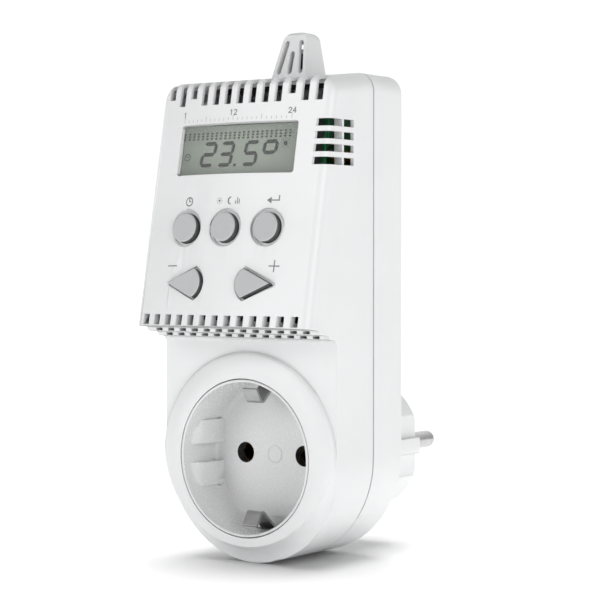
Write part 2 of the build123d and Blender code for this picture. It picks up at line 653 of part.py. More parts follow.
with BuildPart() as switch_bodies:
    for x, s in SWITCH_PLACES.values():
        add(panel_box(x, s, SWITCH_SIDE, SWITCH_SIDE, (BOARD[1], SWITCH_TOP)))
        with BuildSketch(PANEL.offset(PLUNGER_BACK - 0.7)):
            with Locations((x, s)):
                Circle(KEY_STEM_RADIUS + PLUNGER_GAP)
        extrude(amount=5, mode=Mode.SUBTRACT)
publish(switch_bodies.part, "switch_bodies")

for name, place in SWITCH_PLACES.items():
    with BuildPart() as plunger:
        with BuildSketch(PANEL.offset(PLUNGER_BACK)):
            with Locations(place):
                Circle(KEY_STEM_RADIUS)
        extrude(amount=KEY_FOOT - PLUNGER_BACK)
    publish(plunger.part, f"plunger_{name}")

# ---- power board and what stands on it ----
BOARD_FRONT_Y = POWER_BOARD_Y[0]


def standing_box(x, z, size_x, size_z, height, foot=0.0):
    """Rectangular component standing forwards from the power board."""
    with BuildPart() as piece:
        with BuildSketch(front_plane(BOARD_FRONT_Y - foot)):
            with Locations((x, z)):
                Rectangle(size_x, size_z)
        extrude(amount=height)
    return piece.part


with BuildPart() as power_board:
    with BuildSketch(front_plane(POWER_BOARD_Y[1])):
        with Locations((0, sum(POWER_BOARD_Z) / 2)):
            Rectangle(2 * POWER_BOARD_HALF, POWER_BOARD_Z[1] - POWER_BOARD_Z[0])
        with Locations(*POWER_SCREWS):
            Circle(SMALL_SCREW_RADIUS + 0.1, mode=Mode.SUBTRACT)
    extrude(amount=POWER_BOARD_Y[1] - POWER_BOARD_Y[0])
publish(power_board.part, "power_board")

with BuildPart() as mains_capacitor:
    add(standing_box(12.0, 53.0, 17.5, 8.0, 13.5))
    fillet(mains_capacitor.edges().filter_by(Axis.Y), 0.6)
publish(mains_capacitor.part, "mains_capacitor")

with BuildPart() as smoothing_capacitor:
    with BuildSketch(front_plane(BOARD_FRONT_Y)):
        with Locations((14.0, 67.0)):
            Circle(4.0)
    extrude(amount=11.5)
    fillet(smoothing_capacitor.edges().group_by(Axis.Y)[0], 0.5)
publish(smoothing_capacitor.part, "smoothing_capacitor")

with BuildPart() as varistor:
    with BuildSketch(Plane.YZ.offset(-15.8)):
        with Locations((BOARD_FRONT_Y - 5.5, 70.0)):
            Circle(4.6)
    extrude(amount=3.6)
    fillet(varistor.edges(), 1.0)
    for wire_z in (67.6, 72.4):
        with Locations((-14.0, BOARD_FRONT_Y - 1.4, wire_z)):
            Box(0.6, 2.8, 0.6)
publish(varistor.part, "varistor")

publish(standing_box(0, 67.0, 8.4, 6.6, 3.2), "rectifier")

with BuildPart() as fuse:
    with BuildSketch(Plane.YZ.offset(-10)):
        with Locations((BOARD_FRONT_Y - 3.4, 81.0)):
            Circle(2.6)
    extrude(amount=20)
    for clip_x in (-8.5, 8.5):
        with Locations((clip_x, BOARD_FRONT_Y - 1.7, 81.0)):
            Box(3.0, 3.4, 5.0)
publish(fuse.part, "fuse")

with BuildPart() as resistors:
    for resistor_z in (74.5, 78.5):
        with BuildSketch(Plane.YZ.offset(12)):
            with Locations((BOARD_FRONT_Y - 1.6, resistor_z)):
                Circle(1.55)
        extrude(amount=8)
publish(resistors.part, "resistors")

# ---- relay: coil and yoke on a base, with a hinged lever that carries the moving contact ----
RELAY_X = -13.0
RELAY_Z = 51.5
RELAY_BASE_Y = BOARD_FRONT_Y - 2.0
COIL_AXIS_Z = RELAY_Z - 2.0
LEVER_HINGE = (BOARD_FRONT_Y - 13.4, RELAY_Z + 5.6)
CONTACT_Z = RELAY_Z - 7.9

publish(standing_box(RELAY_X, RELAY_Z, 14.4, 18.0, 2.0), "relay_base")

with BuildPart() as relay_coil:
    with BuildSketch(front_plane(RELAY_BASE_Y)):
        with Locations((RELAY_X, COIL_AXIS_Z)):
            Circle(4.4)
    extrude(amount=9.6)
    for flange_y in (RELAY_BASE_Y, RELAY_BASE_Y - 8.8):
        with BuildSketch(front_plane(flange_y)):
            with Locations((RELAY_X, COIL_AXIS_Z)):
                RectangleRounded(10.4, 10.4, 1.0)
        extrude(amount=0.8)
    with BuildSketch(front_plane(RELAY_BASE_Y - 9.6)):
        with Locations((RELAY_X, COIL_AXIS_Z)):
            Circle(2.2)
    extrude(amount=0.5)
publish(relay_coil.part, "relay_coil")

with BuildPart() as relay_yoke:
    with BuildSketch(front_plane(RELAY_BASE_Y)):
        with Locations((RELAY_X, RELAY_Z + 5.1)):
            Rectangle(8.0, 1.2)
    extrude(amount=RELAY_BASE_Y - LEVER_HINGE[0] - 1.4)
publish(relay_yoke.part, "relay_yoke")

with BuildPart() as relay_lever:
    with BuildSketch(Plane.YZ.offset(RELAY_X - 4)):
        Polygon((LEVER_HINGE[0] - 0.5, LEVER_HINGE[1] + 0.8), (LEVER_HINGE[0] + 0.6, LEVER_HINGE[1] + 0.8),
                (LEVER_HINGE[0] + 0.2, CONTACT_Z - 0.8), (LEVER_HINGE[0] - 0.8, CONTACT_Z - 0.8), align=None)
    extrude(amount=8)
    with BuildSketch(front_plane(LEVER_HINGE[0] + 0.9)):
        with Locations((RELAY_X, CONTACT_Z)):
            Circle(0.8)
    extrude(amount=1.2)
publish(relay_lever.part, "relay_lever")

with BuildPart() as relay_contact:
    with BuildSketch(Plane.YZ.offset(RELAY_X - 2)):
        blade_z = CONTACT_Z - 1.3
        Polygon((RELAY_BASE_Y, blade_z), (RELAY_BASE_Y, blade_z + 0.5), (LEVER_HINGE[0] + 2.5, blade_z + 0.5),
                (LEVER_HINGE[0] + 2.5, CONTACT_Z + 0.6), (LEVER_HINGE[0] + 2.0, CONTACT_Z + 0.6),
                (LEVER_HINGE[0] + 2.0, blade_z), align=None)
    extrude(amount=4)
    with BuildSketch(front_plane(LEVER_HINGE[0] + 2.0)):
        with Locations((RELAY_X, CONTACT_Z)):
            Circle(0.8)
    extrude(amount=0.4)
publish(relay_contact.part, "relay_contact")

with BuildPart() as relay_cover:
    add(standing_box(RELAY_X, RELAY_Z, 16.4, 20.4, 16.6))
    add(standing_box(RELAY_X, RELAY_Z, 14.8, 18.8, 15.8), mode=Mode.SUBTRACT)
    fillet(relay_cover.faces().sort_by(Axis.Y)[0].edges(), 0.7)
publish(relay_cover.part, "relay_cover")

# ---- flat cable between the two boards ----
cable_start = PANEL.from_local_coords((0, 8.0, BOARD[0]))
cable_out = PANEL.from_local_coords((0, 8.0, BOARD[0] - 5))
cable_points = [(cable_start.Y, cable_start.Z), (cable_out.Y, cable_out.Z), (-38.5, 41.0), (BOARD_FRONT_Y, 41.0)]
with BuildPart() as ribbon_cable:
    with BuildSketch(Plane.YZ.offset(10.8)):
        with BuildLine():
            cable_path = FilletPolyline(*cable_points, radius=2.5)
        trace(cable_path, line_width=0.9)
    extrude(amount=6.8)
publish(ribbon_cable.part, "ribbon_cable")

# ---- sensor cap on the top of the rear shell ----


def cap_block(inset):
    """Tapered hood with a rounded top and a front that leans back, drawn in by inset."""
    base = CAP_WIDTH / 2 - inset
    top = CAP_TOP_WIDTH / 2 - inset
    top_z = TOP_Z + CAP_HEIGHT - inset
    with BuildPart() as block:
        with BuildSketch(front_plane(CAP_Y[1] + 1)) as face:
            Polygon((-base, TOP_Z), (base, TOP_Z), (top, top_z), (-top, top_z), align=None)
            fillet(face.vertices().group_by(Axis.Y)[-1], 2.9 - inset)
        extrude(amount=14)
        with BuildSketch(Plane.YZ) as side_view:
            Polygon((CAP_Y[0] + inset, TOP_Z), (CAP_Y[1] - inset, TOP_Z), (CAP_TOP_Y[1] - inset, top_z),
                    (CAP_TOP_Y[0] + inset, top_z), align=None)
            fillet(side_view.vertices().group_by(Axis.Y)[-1], 1.6 - inset)
        extrude(amount=HALF, both=True, mode=Mode.INTERSECT)
    return block.part


with BuildPart() as sensor_cap:
    add(cap_block(0))
    add(cap_block(CAP_WALL), mode=Mode.SUBTRACT)
    # Three fanned slots in the leaning front.
    with BuildSketch(front_plane(CAP_SPLIT_Y - 2)):
        for slot_x, slot_turn, slot_length in ((-2.9, 9.0, 9.2), (0.0, 0.0, 6.2), (2.9, -9.0, 9.2)):
            with Locations(Location((slot_x, TOP_Z + 1.0 + slot_length / 2), 90 - slot_turn)):
                SlotOverall(slot_length, 1.5)
    extrude(amount=12, mode=Mode.SUBTRACT)
    # Ladder of openings in the back and along both sides.
    for index in range(4):
        with Locations((0, CAP_Y[1], TOP_Z + 2.1 + index * 2.3)):
            Box(5.4, 5.0, 1.3, mode=Mode.SUBTRACT)

with BuildPart() as sensor_cap_front:
    add(sensor_cap.part)
    split(bisect_by=front_plane(CAP_SPLIT_Y), keep=Keep.TOP)
publish(sensor_cap_front.part, "sensor_cap_front")

with BuildPart() as sensor_cap_rear:
    add(sensor_cap.part)
    split(bisect_by=front_plane(CAP_SPLIT_Y), keep=Keep.BOTTOM)
publish(sensor_cap_rear.part, "sensor_cap_rear")

with BuildPart() as thermistor:
    with Locations((0, SENSOR_Y, 105.5)):
        Sphere(1.5)
    with BuildSketch(Plane.XY.offset(102.5)):
        with Locations((0, SENSOR_Y)):
            Circle(1.2)
    extrude(amount=3.0)
publish(thermistor.part, "thermistor")

with BuildPart() as thermistor_leads:
    for side in (-1, 1):
        add(lead([(side * 0.7, SENSOR_Y, 102.5), (side * 0.7, SENSOR_Y, 93.5),
                  (side * 0.7, sum(POWER_BOARD_Y) / 2, 92.0), (side * 0.7, sum(POWER_BOARD_Y) / 2, 90.0)], 1.0, 0.35))
publish(thermistor_leads.part, "thermistor_leads")

# ---- screws ----
with BuildPart() as case_screws:
    for post_x, post_z in CASE_SCREWS:
        with BuildSketch(front_plane(REAR_Y - 2.2)):
            with Locations((post_x, post_z)):
                Circle(2.2)
        extrude(amount=1.8)
        with BuildSketch(front_plane(REAR_Y - 4.0)):
            with Locations((post_x, post_z)):
                Circle(CASE_SCREW_RADIUS - 0.15)
        extrude(amount=17.5)
        with Locations((post_x, REAR_Y - 2.2, post_z)):
            Box(2.4, 1.4, 0.6, mode=Mode.SUBTRACT)
            Box(0.6, 1.4, 2.4, mode=Mode.SUBTRACT)
publish(case_screws.part, "case_screws")

with BuildPart() as board_screws:
    for post_x, post_z in POWER_SCREWS:
        with BuildSketch(front_plane(BOARD_FRONT_Y)):
            with Locations((post_x, post_z)):
                Circle(1.8)
        extrude(amount=1.2)
        with BuildSketch(front_plane(BOARD_FRONT_Y + 5)):
            with Locations((post_x, post_z)):
                Circle(SMALL_SCREW_RADIUS - 0.15)
        extrude(amount=5)
    for post_x, post_s in DISPLAY_SCREWS:
        with BuildSketch(PANEL.offset(BOARD[0] - 1.2)):
            with Locations((post_x, post_s)):
                Circle(1.8)
        extrude(amount=1.2)
        with BuildSketch(PANEL.offset(BOARD[0])):
            with Locations((post_x, post_s)):
                Circle(SMALL_SCREW_RADIUS - 0.15)
        extrude(amount=5)
publish(board_screws.part, "board_screws")
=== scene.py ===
"""Visual model of a plug-in programmable thermostat timer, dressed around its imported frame."""

import json
import logging
import math
from collections.abc import Callable, Sequence
from dataclasses import dataclass, field
from enum import Enum

import bpy
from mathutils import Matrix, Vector

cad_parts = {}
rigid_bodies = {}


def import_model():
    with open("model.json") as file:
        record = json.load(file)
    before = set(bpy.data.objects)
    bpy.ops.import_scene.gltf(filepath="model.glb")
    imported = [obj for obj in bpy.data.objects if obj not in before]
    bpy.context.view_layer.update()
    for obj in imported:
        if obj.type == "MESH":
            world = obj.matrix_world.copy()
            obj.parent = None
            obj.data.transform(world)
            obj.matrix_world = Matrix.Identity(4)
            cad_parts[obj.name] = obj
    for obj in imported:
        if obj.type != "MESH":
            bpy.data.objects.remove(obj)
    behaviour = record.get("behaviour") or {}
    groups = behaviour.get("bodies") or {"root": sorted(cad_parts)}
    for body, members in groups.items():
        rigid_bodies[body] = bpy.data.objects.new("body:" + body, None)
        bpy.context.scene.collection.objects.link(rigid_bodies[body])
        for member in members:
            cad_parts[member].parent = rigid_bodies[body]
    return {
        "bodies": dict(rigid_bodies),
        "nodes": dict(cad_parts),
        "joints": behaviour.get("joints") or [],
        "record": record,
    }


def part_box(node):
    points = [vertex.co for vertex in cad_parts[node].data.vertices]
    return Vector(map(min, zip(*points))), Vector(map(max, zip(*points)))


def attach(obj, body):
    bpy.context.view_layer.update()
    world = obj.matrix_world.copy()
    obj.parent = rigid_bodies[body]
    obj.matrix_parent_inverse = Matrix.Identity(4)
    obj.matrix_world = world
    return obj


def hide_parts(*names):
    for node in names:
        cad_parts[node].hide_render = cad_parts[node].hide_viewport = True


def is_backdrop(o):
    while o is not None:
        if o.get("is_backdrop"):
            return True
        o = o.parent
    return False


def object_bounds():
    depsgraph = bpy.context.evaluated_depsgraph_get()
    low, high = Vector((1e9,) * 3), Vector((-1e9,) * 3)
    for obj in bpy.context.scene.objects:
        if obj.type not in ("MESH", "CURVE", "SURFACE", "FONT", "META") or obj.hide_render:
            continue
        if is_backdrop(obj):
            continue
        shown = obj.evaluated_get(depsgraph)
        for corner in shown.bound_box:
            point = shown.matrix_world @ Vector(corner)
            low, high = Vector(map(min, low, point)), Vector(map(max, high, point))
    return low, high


LOG = logging.getLogger("thermostat")
MM = 0.001
BODY = "casing"
Colour = tuple[float, float, float, float]
Point = tuple[float, float]
FaceTest = Callable[[Vector, Vector], bool]


def grey(level: float, tint: float = 0.0) -> Colour:
    """Returns a linear grey of that level; a positive tint makes it a little bluer."""
    return (level * (1 - tint), level, level * (1 + tint), 1.0)


# ---------------------------------------------------------------------------------------------
# Finishes
# ---------------------------------------------------------------------------------------------


class Recipe:
    """A material's node tree, with short calls for adding and joining nodes."""

    def __init__(self, name: str) -> None:
        """Starts an empty material with one principled shader.

        Args:
            name: the material's name.
        """
        self.material = bpy.data.materials.new(name)
        self.material.use_nodes = True
        self.nodes = self.material.node_tree.nodes
        self.shader = self.nodes["Principled BSDF"]

    def add(self, kind: str, **sockets: object) -> bpy.types.Node:
        """Adds a node and sets or links its inputs.

        Args:
            kind: the node's type without the ShaderNode prefix.
            **sockets: input names, with underscores for blanks, to values or to other nodes' outputs.

        Returns:
            The new node.
        """
        node = self.nodes.new("ShaderNode" + kind)
        for key, value in sockets.items():
            self.feed(node, key.replace("_", " "), value)
        return node

    def feed(self, node: bpy.types.Node, socket: str, value: object) -> None:
        """Sets an input to a value, or links an output to it."""
        if isinstance(value, bpy.types.NodeSocket):
            self.material.node_tree.links.new(value, node.inputs[socket])
        else:
            node.inputs[socket].default_value = value

    def set(self, **sockets: object) -> None:
        """Sets or links inputs of the principled shader."""
        for key, value in sockets.items():
            self.feed(self.shader, key.replace("_", " "), value)

    def place(self, scale: Sequence[float] = (1, 1, 1)) -> bpy.types.NodeSocket:
        """Returns object coordinates stretched by scale."""
        coordinates = self.add("TexCoord")
        mapping = self.add("Mapping", Vector=coordinates.outputs["Object"], Scale=tuple(scale))
        return mapping.outputs["Vector"]

    def noise(
            self, size: float, detail: float = 3.0, stretch: Sequence[float] = (1, 1, 1)) -> bpy.types.NodeSocket:
        """Returns a noise of a given feature size in metres.

        Args:
            size: distance between neighbouring blotches.
            detail: octaves of the noise.
            stretch: relative frequency along X, Y and Z.

        Returns:
            The noise's value.
        """
        node = self.add("TexNoise", Vector=self.place(stretch), Scale=1 / size, Detail=detail)
        return node.outputs["Fac"]

    def ramp(self, value: object, low: float, high: float, start: float, end: float) -> bpy.types.NodeSocket:
        """Returns value mapped from low..high to start..end."""
        node = self.add("MapRange", Value=value, From_Min=low, From_Max=high, To_Min=start, To_Max=end)
        return node.outputs["Result"]

    def blend(self, amount: object, first: Colour, second: Colour) -> bpy.types.NodeSocket:
        """Returns the mix of two colours."""
        node = self.nodes.new("ShaderNodeMix")
        node.data_type = "RGBA"
        self.feed(node, "Factor", amount)
        node.inputs[6].default_value = first
        node.inputs[7].default_value = second
        return node.outputs[2]

    def relief(self, height: object, depth: float, edge: float = 0.0) -> None:
        """Gives the surface a fine relief, and rounds its sharp edges.

        Args:
            height: the relief's height signal.
            depth: distance in metres between its lowest and highest places.
            edge: radius in metres that sharp edges are shaded with.
        """
        bump = self.add("Bump", Height=height, Distance=depth, Strength=1.0)
        if edge > 0:
            rounded = self.add("Bevel", Radius=edge)
            rounded.samples = 6
            self.feed(bump, "Normal", rounded.outputs["Normal"])
        self.set(Normal=bump.outputs["Normal"])


@dataclass(frozen=True)
class Moulding:
    """Injection-moulded plastic: a fine eroded grain, slightly uneven gloss and softened edges."""

    name: str
    colour: Colour
    roughness: float = 0.36
    grain: float = 0.35 * MM
    depth: float = 0.004 * MM
    edge: float = 0.12 * MM
    soft: float = 0.0

    def material(self) -> bpy.types.Material:
        """Returns the finish as a material."""
        recipe = Recipe(self.name)
        fine = recipe.noise(self.grain, 4.0)
        broad = recipe.noise(18 * MM, 2.0)
        darker = tuple(0.965 * part for part in self.colour[:3]) + (1.0,)
        recipe.set(Base_Color=recipe.blend(recipe.ramp(broad, 0.3, 0.7, 0.0, 1.0), self.colour, darker))
        recipe.set(Roughness=recipe.ramp(fine, 0.3, 0.7, self.roughness - 0.04, self.roughness + 0.05))
        recipe.relief(fine, self.depth, self.edge)
        if self.soft > 0:
            recipe.set(Subsurface_Weight=self.soft, Subsurface_Scale=0.8 * MM)
            recipe.set(Subsurface_Radius=(1.0, 0.95, 0.9))
        return recipe.material


@dataclass(frozen=True)
class Plating:
    """Plated or bare metal with fine drawing lines along one direction."""

    name: str
    colour: Colour
    roughness: float = 0.24
    along: Sequence[float] = (1.0, 0.06, 1.0)

    def material(self) -> bpy.types.Material:
        """Returns the finish as a material."""
        recipe = Recipe(self.name)
        lines = recipe.noise(0.18 * MM, 3.0, self.along)
        stain = recipe.noise(3 * MM, 3.0)
        darker = tuple(0.72 * part for part in self.colour[:3]) + (1.0,)
        recipe.set(Base_Color=recipe.blend(recipe.ramp(stain, 0.35, 0.75, 0.0, 0.7), self.colour, darker))
        recipe.set(Metallic=1.0)
        recipe.set(Roughness=recipe.ramp(lines, 0.3, 0.7, self.roughness - 0.08, self.roughness + 0.1))
        recipe.relief(lines, 0.003 * MM, 0.1 * MM)
        return recipe.material


@dataclass(frozen=True)
class Ink:
    """Thin pad-printed ink with a slightly broken surface."""

    name: str
    colour: Colour
    roughness: float = 0.55

    def material(self) -> bpy.types.Material:
        """Returns the finish as a material."""
        recipe = Recipe(self.name)
        speckle = recipe.noise(0.12 * MM, 2.0)
        lighter = tuple(min(1.0, 1.25 * part) for part in self.colour[:3]) + (1.0,)
        recipe.set(Base_Color=recipe.blend(recipe.ramp(speckle, 0.45, 0.75, 0.0, 1.0), self.colour, lighter))
        recipe.set(Roughness=self.roughness)
        recipe.relief(speckle, 0.002 * MM)
        return recipe.material


@dataclass(frozen=True)
class CrystalCell:
    """Reflective liquid crystal cell: green-grey, with painted shade that darkens it from the middle towards its
    rim, where the window's recess shades it.
    """

    name: str
    centre: tuple[float, float, float]
    # Colours of the lit middle and of the painted shade at the rim.
    bright: Colour = (0.25, 0.29, 0.24, 1.0)
    dark: Colour = (0.1, 0.13, 0.1, 1.0)
    half_width: float = 20.5 * MM
    half_height: float = 8.2 * MM

    def material(self) -> bpy.types.Material:
        """Returns the finish as a material."""
        recipe = Recipe(self.name)
        coordinates = recipe.add("TexCoord")
        mapping = recipe.add("Mapping", Vector=coordinates.outputs["Object"])
        mapping.inputs["Location"].default_value = (
            -self.centre[0] / self.half_width, 0.0, -self.centre[2] / self.half_height)
        mapping.inputs["Scale"].default_value = (1 / self.half_width, 0.0, 1 / self.half_height)
        distance = recipe.nodes.new("ShaderNodeVectorMath")
        distance.operation = "LENGTH"
        recipe.feed(distance, "Vector", mapping.outputs["Vector"])
        # Painted shade: the colour darkens with distance from the cell's middle, in place of the window recess's
        # shadow.
        shade = recipe.ramp(distance.outputs["Value"], 0.45, 1.25, 0.0, 1.0)
        recipe.set(Base_Color=recipe.blend(shade, self.bright, self.dark))
        grain = recipe.noise(0.08 * MM, 2.0)
        recipe.set(Roughness=recipe.ramp(grain, 0.3, 0.7, 0.28, 0.4))
        recipe.relief(grain, 0.0015 * MM)
        return recipe.material


@dataclass(frozen=True)
class ClearSheet:
    """Clear polished sheet that shows what lies behind it and a faint reflection."""

    name: str
    tint: Colour = (0.93, 0.96, 0.93, 1.0)
    opacity: float = 0.05

    def material(self) -> bpy.types.Material:
        """Returns the finish as a material."""
        recipe = Recipe(self.name)
        smear = recipe.noise(6 * MM, 2.0)
        recipe.set(Base_Color=recipe.blend(recipe.ramp(smear, 0.3, 0.7, 0.0, 1.0), self.tint, grey(0.9)))
        recipe.set(Roughness=recipe.ramp(smear, 0.3, 0.7, 0.04, 0.09), Alpha=self.opacity)
        recipe.relief(smear, 0.001 * MM)
        return recipe.material


@dataclass(frozen=True)
class BoardLaminate:
    """Circuit board: solder mask over copper tracks that show as slightly lighter lines."""

    name: str
    mask: Colour = (0.012, 0.12, 0.045, 1.0)
    track: Colour = (0.03, 0.22, 0.08, 1.0)

    def material(self) -> bpy.types.Material:
        """Returns the finish as a material."""
        recipe = Recipe(self.name)
        cells = recipe.add("TexBrick", Vector=recipe.place(), Scale=160.0, Mortar_Size=0.06)
        cells.inputs["Color1"].default_value = grey(0.0)
        cells.inputs["Color2"].default_value = grey(0.15)
        cells.inputs["Mortar"].default_value = grey(1.0)
        recipe.set(Base_Color=recipe.blend(cells.outputs["Color"], self.mask, self.track))
        recipe.set(Roughness=0.35)
        recipe.relief(cells.outputs["Fac"], 0.03 * MM, 0.1 * MM)
        return recipe.material


CASING_WHITE = Moulding("casing_white", grey(0.82, 0.006), 0.34, soft=0.04)
INSERT_WHITE = Moulding("insert_white", grey(0.76, 0.004), 0.26, 0.5 * MM, 0.002 * MM, soft=0.04)
KEY_GREY = Moulding("key_grey", grey(0.5, 0.012), 0.42, 0.25 * MM, 0.006 * MM, 0.1 * MM)
RING_GREY = Moulding("ring_grey", grey(0.66, 0.006), 0.4, 0.25 * MM, 0.004 * MM, 0.1 * MM)
# Painted shade: the keys' side walls, dark because they lie in shadow.
KEY_PAINTED_SHADE = Moulding("key_painted_shade", grey(0.075), 0.6, 0.25 * MM, 0.004 * MM)
# Painted shade: the rear shell's tongue, near black so the gap between the shells reads as shadow.
SEAM_PAINTED_SHADE = Moulding("seam_painted_shade", grey(0.03), 0.7)
# Painted shade: the pin holes' walls, dark as the inside of the holes lies in shadow.
HOLE_PAINTED_SHADE = Moulding("hole_painted_shade", grey(0.045), 0.6)
# Painted shade: the downward treads behind the panel's foot, grey because they face away from the light.
STEP_PAINTED_SHADE = Moulding("step_painted_shade", grey(0.34), 0.5)
PRINT_GREY = Ink("print_grey", grey(0.2))
PRINT_PALE = Ink("print_pale", grey(0.42))
SEGMENT_BLACK = Ink("segment_black", (0.004, 0.007, 0.004, 1.0), 0.6)
FINISHES: dict[str, object] = {
    "casing_white": CASING_WHITE,
    "insert_white": INSERT_WHITE,
    "key_grey": KEY_GREY,
    "nickel": Plating("nickel", grey(0.6), 0.28),
    "spring_steel": Plating("spring_steel", grey(0.46), 0.42, (1.0, 0.1, 0.1)),
    "brass": Plating("brass", (0.2, 0.13, 0.05, 1.0), 0.4),
    "window_clear": ClearSheet("window_clear"),
    "frame_black": Moulding("frame_black", grey(0.025), 0.5),
    "board_green": BoardLaminate("board_green"),
    "chip_black": Moulding("chip_black", grey(0.018), 0.5),
    "can_steel": Plating("can_steel", grey(0.6), 0.28),
    "elastomer": Moulding("elastomer", grey(0.12), 0.7),
    "capacitor_yellow": Moulding("capacitor_yellow", (0.62, 0.36, 0.03, 1.0), 0.45),
    "sleeve_blue": Moulding("sleeve_blue", (0.02, 0.06, 0.24, 1.0), 0.35),
    "coil_copper": Plating("coil_copper", (0.6, 0.24, 0.1, 1.0), 0.35, (1.0, 12.0, 1.0)),
    "relay_case": Moulding("relay_case", (0.03, 0.1, 0.36, 1.0), 0.4),
    "fuse_glass": ClearSheet("fuse_glass", grey(0.85), 0.4),
    "lead_brown": Moulding("lead_brown", (0.12, 0.04, 0.015, 1.0), 0.5),
    "lead_blue": Moulding("lead_blue", (0.015, 0.06, 0.28, 1.0), 0.5),
    "ribbon_grey": Moulding("ribbon_grey", grey(0.34), 0.55),
    "screw_zinc": Plating("screw_zinc", grey(0.55), 0.34),
}


class Store:
    """Materials made once and handed out by name."""

    made: dict[str, bpy.types.Material] = {}

    @classmethod
    def get(cls, finish: object) -> bpy.types.Material:
        """Returns the material of a finish, made at its first use."""
        if finish.name not in cls.made:
            cls.made[finish.name] = finish.material()
        return cls.made[finish.name]


# ---------------------------------------------------------------------------------------------
# Bench tools
# ---------------------------------------------------------------------------------------------


def release() -> None:
    """Leaves edit mode and deselects everything."""
    if bpy.context.object and bpy.context.object.mode != "OBJECT":
        bpy.ops.object.mode_set(mode="OBJECT")
    bpy.ops.object.select_all(action="DESELECT")


def take(*pieces: bpy.types.Object) -> None:
    """Selects pieces, with the first one active."""
    release()
    for piece in pieces:
        piece.select_set(True)
    bpy.context.view_layer.objects.active = pieces[0]


def edit(piece: bpy.types.Object, mode: str = "FACE") -> None:
    """Enters edit mode on a piece with everything selected."""
    take(piece)
    bpy.ops.object.mode_set(mode="EDIT")
    bpy.ops.mesh.select_mode(type=mode)
    bpy.ops.mesh.select_all(action="SELECT")


def apply_all(piece: bpy.types.Object) -> None:
    """Applies every modifier on a piece."""
    take(piece)
    for modifier in list(piece.modifiers):
        bpy.ops.object.modifier_apply(modifier=modifier.name)


def join(name: str, pieces: Sequence[bpy.types.Object]) -> bpy.types.Object:
    """Joins pieces into one.

    Args:
        name: the joined piece's name.
        pieces: what is joined.

    Returns:
        The joined piece.
    """
    take(*pieces)
    if len(pieces) > 1:
        bpy.ops.object.join()
    joined = bpy.context.object
    joined.name = name
    joined.data.name = name
    return joined


def plate(points: Sequence[Point], thickness: float, bevel: float = 0.0) -> bpy.types.Object:
    """A flat plate with a given outline, standing up from z = 0.

    Args:
        points: the outline, in metres, counter-clockwise.
        thickness: height of the plate.
        bevel: rounding of the plate's upper edge.

    Returns:
        The plate.
    """
    release()
    bpy.ops.mesh.primitive_circle_add(vertices=len(points), radius=1.0, fill_type="NGON")
    piece = bpy.context.object
    for vertex, (x, y) in zip(piece.data.vertices, points):
        vertex.co = (x, y, 0.0)
    edit(piece)
    bpy.ops.mesh.extrude_region_move(TRANSFORM_OT_translate={"value": (0, 0, thickness)})
    if bevel > 0:
        bpy.ops.mesh.bevel(offset=bevel, segments=3, affect="EDGES")
    bpy.ops.mesh.select_all(action="SELECT")
    bpy.ops.mesh.normals_make_consistent(inside=False)
    release()
    return piece


def frame_plate(points: Sequence[Point], width: float, thickness: float, bevel: float) -> bpy.types.Object:
    """A flat frame of even width just inside an outline.

    Args:
        points: the outer outline, in metres, counter-clockwise.
        width: width of the frame.
        thickness: its height.
        bevel: rounding of its edges.

    Returns:
        The frame.
    """
    release()
    bpy.ops.mesh.primitive_circle_add(vertices=len(points), radius=1.0, fill_type="NGON")
    piece = bpy.context.object
    for vertex, (x, y) in zip(piece.data.vertices, points):
        vertex.co = (x, y, 0.0)
    edit(piece)
    bpy.ops.mesh.inset(thickness=width, use_even_offset=True)
    bpy.ops.mesh.delete(type="FACE")
    bpy.ops.mesh.select_all(action="SELECT")
    bpy.ops.mesh.extrude_region_move(TRANSFORM_OT_translate={"value": (0, 0, thickness)})
    bpy.ops.mesh.select_all(action="SELECT")
    bpy.ops.mesh.normals_make_consistent(inside=False)
    release()
    modifier = piece.modifiers.new("round", "BEVEL")
    modifier.width = bevel
    modifier.segments = 3
    modifier.limit_method = "ANGLE"
    modifier.angle_limit = math.radians(40)
    apply_all(piece)
    return piece


def circle(radius: float, count: int = 64, centre: Point = (0, 0)) -> list[Point]:
    """Returns points round a circle, counter-clockwise."""
    turns = [math.tau * index / count for index in range(count)]
    return [(centre[0] + radius * math.cos(turn), centre[1] + radius * math.sin(turn)) for turn in turns]


def bar(start: Point, end: Point, width: float, point: float = 0.0) -> list[Point]:
    """Outline of a straight bar from start to end, with pointed ends when point is above 0."""
    along = Vector(end) - Vector(start)
    along.normalize()
    across = Vector((-along.y, along.x)) * width / 2
    first, last = Vector(start), Vector(end)
    corners = [first + along * point - across, last - along * point - across]
    if point > 0:
        corners.append(last)
    corners += [last - along * point + across, first + along * point + across]
    if point > 0:
        corners.append(first)
    return [(corner.x, corner.y) for corner in corners]


def sun_plates(
        centre: Point, radius: float, sides: int, ray: Point, thickness: float) -> list[bpy.types.Object]:
    """A small sun: a disc and eight rays.

    Args:
        centre: the sun's middle.
        radius: the disc's radius.
        sides: number of straight sides of the disc.
        ray: distances of a ray's two ends from the middle.
        thickness: height of the plates.

    Returns:
        The plates of the disc and the rays.
    """
    ray_count, ray_width = 8, 0.14 * MM
    x, y = centre
    plates = [plate(circle(radius, sides, centre), thickness)]
    for index in range(ray_count):
        turn = math.tau * index / ray_count
        start, end = ((x + reach * math.cos(turn), y + reach * math.sin(turn)) for reach in ray)
        plates.append(plate(bar(start, end, ray_width), thickness))
    return plates


def finish_piece(piece: bpy.types.Object, look: object, smooth: float = 32.0) -> bpy.types.Object:
    """Shades a piece, gives it its material and fastens it to the casing.

    Args:
        piece: a finished mesh.
        look: its finish.
        smooth: angle in degrees up to which faces shade into each other.

    Returns:
        The piece.
    """
    take(piece)
    bpy.ops.object.shade_smooth_by_angle(angle=math.radians(smooth))
    piece.data.materials.clear()
    piece.data.materials.append(Store.get(look))
    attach(piece, BODY)
    LOG.info("piece %s", piece.name)
    return piece


# ---------------------------------------------------------------------------------------------
# The sloping panel
# ---------------------------------------------------------------------------------------------


